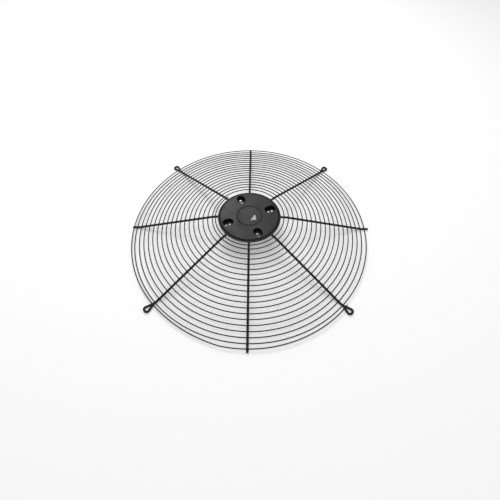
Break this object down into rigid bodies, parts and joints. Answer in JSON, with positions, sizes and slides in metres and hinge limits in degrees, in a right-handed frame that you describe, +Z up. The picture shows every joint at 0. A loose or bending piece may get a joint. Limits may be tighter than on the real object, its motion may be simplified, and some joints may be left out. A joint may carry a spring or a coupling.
{
  "type": "wire fan guard",
  "caption": "Domed round guard for an axial fan: a spiral of thin wire welded on radial spokes round a pressed hub plate with bolt pockets, with teardrop screw eyelets at the rim.",
  "frame": {"origin": "on the guard's axis, at the level of the spokes' undersides at the rim, which is what it stands on", "axes": "+Z up along the axis towards the hub's outer face; +X along the right spoke; +Y along the back spoke; the eyelets lie on the diagonals"},
  "size_m": [0.57, 0.5755, 0.0527],
  "materials": {
    "wire": "satin black powder coat",
    "plate": "satin black powder coat"
  },
  "bodies": {
    "root": {"hub_plate": "plate", "spiral_wire": "wire", "right_spoke": "wire", "back_spoke": "wire", "left_spoke": "wire", "front_spoke": "wire", "back_right_eyelet_spoke": "wire", "back_left_eyelet_spoke": "wire", "front_left_eyelet_spoke": "wire", "front_right_eyelet_spoke": "wire"}
  },
  "joints": []
}
